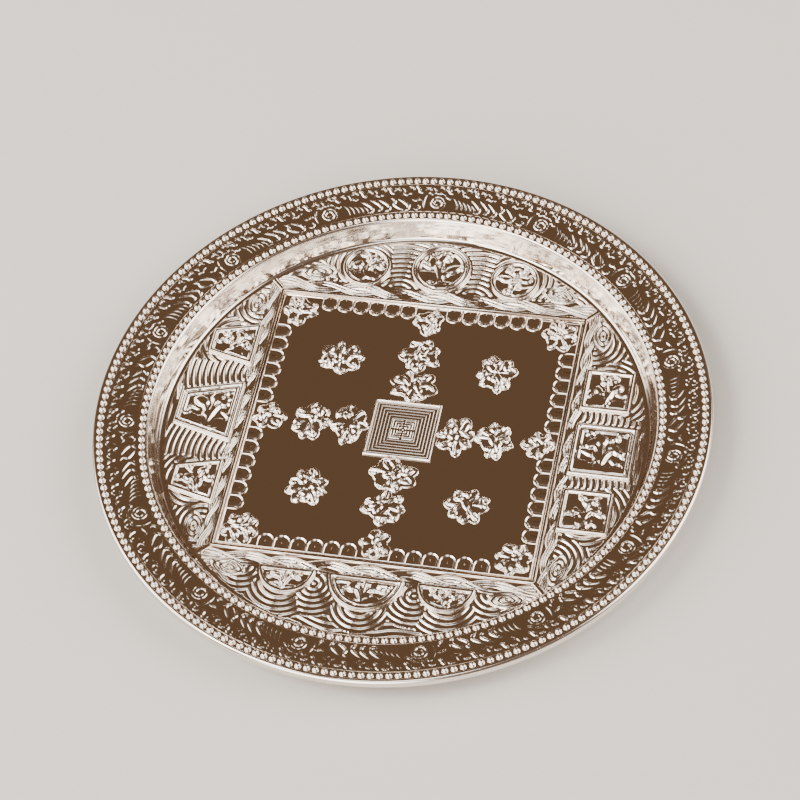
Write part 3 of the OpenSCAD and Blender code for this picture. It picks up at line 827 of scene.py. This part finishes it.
# %% Plaque surfaces
def plaque_grid(kind, b, cells=64):
    """A four-sided grid of (u, v) points that fills a square or trapezoid plaque."""
    u0, u1, v0, v1 = b
    s = np.linspace(-1, 1, int(cells * (u1 - u0) / (v1 - v0)))[:, None]
    t = np.linspace(0, 1, cells)[None, :]
    width = (u1 - u0) / 2 * (1 - (1 - TAPER) * t) if kind == "trapezoid" else (u1 - u0) / 2 + 0 * t
    return (u0 + u1) / 2 - s * width, v0 + (v1 - v0) * t + 0 * s


def round_grid(kind, b, around=150, rings=40):
    """A polar grid of (u, v) points that fills a disc or half-moon, from its rim to its middle."""
    u0, u1, v0, v1 = b
    mid, half = (u0 + u1) / 2, (u1 - u0) / 2
    if kind == "disc":
        rim = arc_path(mid, (v0 + v1) / 2, half, 360, 0, steps=around + 1)[:-1]
        hub = np.array([mid, (v0 + v1) / 2])
    else:
        bow = arc_path(mid, v0, half, 180, 0, steps=around * 2 // 3)
        flat = np.column_stack([np.linspace(u1, u0, around // 3 + 2)[1:-1], np.full(around // 3, v0)])
        rim, hub = np.vstack([bow, flat]), np.array([mid, v0 + half * 0.42])
    inward = np.linspace(0, 1, rings)
    grid = rim[:, None] + (hub - rim)[:, None] * inward[None, :, None]
    return grid[..., 0], grid[..., 1]


def landscape(u, v, centre, room, turn, draw):
    """Generic scenery within a radius of room: a hill, trees, clouds and water, as heights."""
    c, s = math.cos(math.radians(turn)), math.sin(math.radians(turn))
    x = ((u - centre[0]) * c + (v - centre[1]) * s) / room * 10
    y = ((v - centre[1]) * c - (u - centre[0]) * s) / room * 10
    heights = np.zeros_like(x)
    for k in range(3):
        raise_dome(heights, x, y, draw.uniform(-8, 8), draw.uniform(-9, -4), draw.uniform(4, 7),
                   draw.uniform(2.5, 4), draw.uniform(-30, 30), draw.uniform(0.9, 1.4))
    for k in range(4):
        a = math.radians(90 * k + draw.uniform(-30, 30))
        cx, cy = 4.6 * math.cos(a), 4.0 * math.sin(a) + 1.5
        raise_dome(heights, x, y, cx, cy, draw.uniform(2.2, 3.6), draw.uniform(1.6, 2.6),
                   draw.uniform(0, 180), draw.uniform(1.3, 1.9))
        bough = smooth_path([(0, -6), (cx * 0.3, cy * 0.3 - 2), (cx * 0.9, cy)])
        raise_line(heights, x, y, bough, 2.4, 1.5, tip=0.6)
    for k in range(6):
        a = math.radians(60 * k + draw.uniform(-20, 20))
        cx, cy = 8.6 * math.cos(a), 8.6 * math.sin(a)
        start = draw.uniform(0, 360)
        curl = arc_path(cx, cy, draw.uniform(1.8, 2.6), start, start + 230, r_end=1.0)
        raise_line(heights, x, y, curl, 1.7, 1.4)
        away = draw.uniform(-2.5, 2.5)
        tail = smooth_path([(cx, cy), (cx * 0.7 + away, cy * 0.7 - away), (cx * 0.5, cy * 0.5)])
        raise_line(heights, x, y, tail, 1.7, 1.2)
    return heights


RIM_W, RIM_TOP = 1.9, 1.4
SCENE_SHARE = {"disc": 0.5, "moon": 0.42, "square": 0.5, "trapezoid": 0.45}
SCENE_TURN = {"disc": 0, "trapezoid": -90, "moon": 180, "square": 90}


def plaque_solid(side, kind, node, middle, draw):
    """One plaque with its rim and scene; a middle plaque has a second, lower rim."""
    b = side_box(node, side)
    u, v = round_grid(kind, b) if kind in ("disc", "moon") else plaque_grid(kind, b)
    inset = plaque_inset(kind, b, u, v)
    centre = ((b[0] + b[1]) / 2, b[2] + (b[3] - b[2]) * SCENE_SHARE[kind])
    room = min(b[1] - b[0], (b[3] - b[2]) * (1.5 if kind == "moon" else 1.0)) / 2 - RIM_W
    scene = landscape(u, v, centre, room, SCENE_TURN[kind], draw) * np.clip((inset - RIM_W) / 0.8, 0, 1)
    rim = RIM_TOP * np.sqrt(np.clip(1 - ((inset - RIM_W / 2) / (RIM_W / 2 + 0.02)) ** 6, 0, 1))
    if middle:
        second = 0.9 * np.sqrt(np.clip(1 - ((inset - RIM_W * 1.75) / (RIM_W / 2)) ** 4, 0, 1))
        rim = np.maximum(rim, second)
    heights = 0.35 + np.maximum(scene * 0.85, rim)
    top = turned_z(np.stack([u, v, FLOOR_Z + heights], -1), 90 * side)
    build = disc_solid if kind in ("disc", "moon") else patch_solid
    return build(top, FOOT_Z)


for side, (name, kind, plaques, rope_w, waves) in enumerate(SIDES):
    for place, node in enumerate(plaques):
        make_piece(node + "_struck", [plaque_solid(side, kind, node, place == 1, rng)],
                   struck_plaques, [node])

# %% [markdown]
# ## The ornaments
# Twenty raised ornaments stand on the polished field: blossoms with lobed edges, a fat body and curled
# petals, chased differently each time. Each is a polar grid on a lobed outline, r(angle), with lumps
# raised on it. The outline of an arm ornament narrows to a point towards the next one, so that the arms
# read as strings of blossoms.

# %% Ornaments
LOBE_REACH = 1.14


def blossom_outline(angles, w, l, lobes, point_at, draw):
    """Radius of the lobed outline at each angle, and the lobes' directions."""
    oval = 1 / np.sqrt((np.cos(angles) / (w / 2)) ** 2 + (np.sin(angles) / (l / 2)) ** 2)
    ways = 2 * math.pi * (np.arange(lobes) + draw.uniform(-0.3, 0.3, lobes)) / lobes + draw.uniform(0, 1)
    if point_at is not None:
        ways += point_at - ways[0]
    reach = np.full_like(angles, 0.68)
    for k, way in enumerate(ways):
        gap = np.abs(np.angle(np.exp(1j * (angles - way)))) * lobes / math.pi / draw.uniform(0.7, 1.3)
        far = 1.0 if k == 0 else draw.uniform(0.86, 1.0)
        reach = np.maximum(reach, 0.66 + (far - 0.66) * np.clip(1 - gap ** 1.3, 0, 1) ** 0.7)
    return oval * reach, ways


def blossom_solid(centre, w, l, turn, lobes, pointed, draw, around=160, rings=38):
    """One ornament: a cushion, a leaf and a curl for every lobe, and small lumps over the body."""
    angles = turn_angles(around)
    edge, ways = blossom_outline(angles, w, l, lobes, -math.pi / 2 if pointed else None, draw)
    inward = 1 - np.linspace(0, 1, rings) ** 0.9
    r = edge[:, None] * inward
    x, y = r * np.cos(angles)[:, None], r * np.sin(angles)[:, None]
    x, y = x * w / 2 / np.abs(x).max(), y * l / 2 / np.abs(y).max()
    heights = 0.35 + 0.7 * np.clip(1 - (x / (0.45 * w)) ** 2 - (y / (0.45 * l)) ** 2, 0, 1)
    size = min(w, l)
    for way in ways:
        c, s = math.cos(way), math.sin(way)
        side = draw.uniform(-0.3, 0.3)
        leaf = [(0.1 * w * c, 0.1 * l * s), (0.28 * w * (c - side * s), 0.28 * l * (s + side * c)),
                (0.44 * w * c, 0.44 * l * s)]
        raise_line(heights, x, y, smooth_path(leaf), size * draw.uniform(0.08, 0.13),
                   draw.uniform(1.4, 1.9), tip=0.5)
        start = math.degrees(way) + draw.uniform(-120, 60)
        curl = arc_path(0.34 * w * c, 0.34 * l * s, size * 0.09, start, start + 170, r_end=size * 0.06)
        raise_line(heights, x, y, curl, size * 0.06, 1.7, tip=0.5)
    for k in range(9):
        a, off = draw.uniform(0, 2 * math.pi), draw.uniform(0.03, 0.34)
        raise_dome(heights, x, y, off * w * math.cos(a), off * l * math.sin(a),
                   size * draw.uniform(0.1, 0.22), size * draw.uniform(0.06, 0.12),
                   draw.uniform(0, 180), draw.uniform(1.5, 2.3))
    near_edge = np.clip((1 - inward)[None, :] * edge[:, None] / 0.7, 0, 1)
    heights = 0.12 + heights * np.sqrt(1 - (1 - near_edge) ** 2)
    c, s = math.cos(turn), math.sin(turn)
    top = np.stack([centre[0] + x * c - y * s, centre[1] + x * s + y * c, FLOOR_Z + heights], -1)
    return disc_solid(top, FOOT_Z)


def node_place(node):
    """Centre and size of a node's box in plan."""
    low, high = box_mm(node)
    return (low + high)[:2] / 2, (high - low)[:2]


def make_blossom(node, turn_degrees, lobes, pointed):
    """Makes the ornament of a node, its lobes reaching a little past the plainer CAD outline."""
    centre, size = node_place(node)
    w, l = (size if turn_degrees % 180 == 0 else size[::-1]) * LOBE_REACH
    blossom = blossom_solid(centre, w, l, math.radians(turn_degrees), lobes, pointed, rng)
    make_piece(node + "_struck", [blossom], struck_ornaments, [node])


for side, place in enumerate(("top", "left", "bottom", "right")):
    make_blossom(f"side_ornament_{place}", 90 * side, 6, True)
    make_blossom(f"arm_{place}_outer", 90 * side, 7, True)
    make_blossom(f"arm_{place}_inner", 90 * side, 7, True)
for i in (1, 2, 3, 4):
    make_blossom(f"corner_ornament_{i}", 90 * (i - 1), 7, False)
    make_blossom(f"quarter_ornament_{i}", 90 * (i - 1), 8, False)

# %% [markdown]
# ## Floor, light and camera
# A mirror shows its surroundings, so silverware is lit with the room, not with lamps alone. The studio
# here is a soft tent, with one warm brown card hung where the flat metal mirrors the camera's way of
# looking. The tent is dim except for four soft panels: one in front, one at each side and a small one
# overhead. The flats then read brown and calm, and a slope of the relief is bright only where it faces a
# panel, which draws the relief with crisp lines. A large soft lamp gives the pale floor a gentle shadow.

# %% Floor
def stage_floor():
    """A wide sheet of matt paper under the plate."""
    mesh = bpy.data.meshes.new("studio_floor")
    far = 3.0
    mesh.from_pydata([(-far, -far, 0), (far, -far, 0), (far, far, 0), (-far, far, 0)], [], [(0, 1, 2, 3)])
    floor = bpy.data.objects.new("studio_floor", mesh)
    bpy.context.scene.collection.objects.link(floor)
    material = bpy.data.materials.new("matt_pale_paper")
    material.use_nodes = True
    shader = material.node_tree.nodes["Principled BSDF"]
    shader.inputs["Base Color"].default_value = linear("#D9D5CF")
    shader.inputs["Roughness"].default_value = 0.9
    mesh.materials.append(material)


stage_floor()

# %% [markdown]
# The tent is the world's own colour, mixed from soft round patches. A patch is 1 where the way out of the
# scene lies within so many degrees of a direction and fades to 0 a little further out. The card's patch is
# cut narrower at both sides, so that the panels left and right of it stay whole.

# %% Light tent
CAMERA_AZ, CAMERA_EL = 18.72, 53.36
ROOM = (0.20, 0.145, 0.11, 1)
BROWN_CARD = (0.135, 0.080, 0.045, 1)
# Azimuth, elevation, degrees of full light, degrees to no light, colour.
PANELS = (
    (168, 22, 8, 30, (8.0, 7.7, 7.4, 1)),
    (98, 36, 12, 32, (7.0, 6.7, 6.3, 1)),
    (287, 36, 12, 32, (7.0, 6.7, 6.3, 1)),
    (180, 72, 4, 15, (4.0, 3.8, 3.6, 1)))


def direction(azimuth, elevation):
    """Unit vector; the azimuth turns from +Y towards -X, both in degrees."""
    a, e = math.radians(azimuth), math.radians(elevation)
    return Vector((-math.sin(a) * math.cos(e), math.cos(a) * math.cos(e), math.sin(e)))


def facing(tree, way, where):
    """Cosine of the angle between the way out and a direction."""
    return add_node(tree, "ShaderNodeVectorMath", {0: way, 1: tuple(where)},
                    operation="DOT_PRODUCT").outputs["Value"]


def fade(tree, value, none, full):
    """Rises softly from 0 at one value to 1 at another."""
    return add_node(tree, "ShaderNodeMapRange",
                    {"Value": value, "From Min": none, "From Max": full, "To Min": 0.0, "To Max": 1.0},
                    interpolation_type="SMOOTHSTEP").outputs["Result"]


def patch(tree, way, where, full, none):
    """1 within full degrees of a direction, falling softly to 0 at none degrees."""
    return fade(tree, facing(tree, way, where), math.cos(math.radians(none)), math.cos(math.radians(full)))


def lay_over(tree, under, over, mask):
    """One light laid over another where the mask is 1."""
    return add_node(tree, "ShaderNodeMix", {"Factor": mask, 6: under, 7: over}, data_type="RGBA").outputs[2]


def light_tent():
    """Hangs the panels and the brown card in a dim warm room."""
    world = bpy.data.worlds.new("light_tent")
    world.use_nodes = True
    bpy.context.scene.world = world
    tree = world.node_tree
    way = add_node(tree, "ShaderNodeTexCoord").outputs["Generated"]
    light = ROOM
    for azimuth, elevation, full, none, colour in PANELS:
        light = lay_over(tree, light, colour, patch(tree, way, direction(azimuth, elevation), full, none))
    card = patch(tree, way, direction(CAMERA_AZ, 38), 42, 56)
    aside = add_node(tree, "ShaderNodeMath", {0: facing(tree, way, direction(CAMERA_AZ - 90, 0))},
                     operation="ABSOLUTE").outputs[0]
    card = add_node(tree, "ShaderNodeMath", {0: card, 1: fade(tree, aside, 0.64, 0.46)},
                    operation="MULTIPLY").outputs[0]
    light = lay_over(tree, light, BROWN_CARD, card)
    tree.links.new(light, tree.nodes["Background"].inputs["Color"])


def soft_lamp(name, place, aim, size, watts, colour):
    """A round area lamp turned towards its aim."""
    lamp = bpy.data.lights.new(name, "AREA")
    lamp.shape, lamp.size, lamp.energy, lamp.color = "DISK", size, watts, colour
    holder = bpy.data.objects.new(name, lamp)
    bpy.context.scene.collection.objects.link(holder)
    holder.location = place
    holder.rotation_euler = (Vector(aim) - Vector(place)).to_track_quat("-Z", "Y").to_euler()


light_tent()
soft_lamp("key_softbox", (-0.9, -0.7, 1.5), (0, 0, 0), 0.7, 14, (1.0, 0.97, 0.93))

# %% [markdown]
# The camera stands a little over a metre away and looks down at about 53 degrees, with a long lens and a
# slight roll, and it aims almost at the plate's centre.

# %% Camera
CAMERA_DISTANCE = 1.2847
CAMERA_ROLL = -9.05
LENS = 119.8
AIM = Vector((-0.0014, 0.0072, 0.0160))


def place_camera():
    """Puts the camera on its line of sight, turns it to look along it and rolls it."""
    camera = bpy.data.objects.new("camera", bpy.data.cameras.new("camera"))
    bpy.context.scene.collection.objects.link(camera)
    camera.data.lens = LENS
    camera.data.sensor_width = 36
    look = direction(CAMERA_AZ, -CAMERA_EL)
    camera.location = AIM - look * CAMERA_DISTANCE
    turn = look.to_track_quat("-Z", "Y").to_matrix().to_4x4()
    roll = Matrix.Rotation(math.radians(CAMERA_ROLL), 4, "Z")
    camera.matrix_world = Matrix.Translation(camera.location) @ turn @ roll
    bpy.context.scene.camera = camera
    print("camera at", [round(c, 4) for c in camera.location])


place_camera()
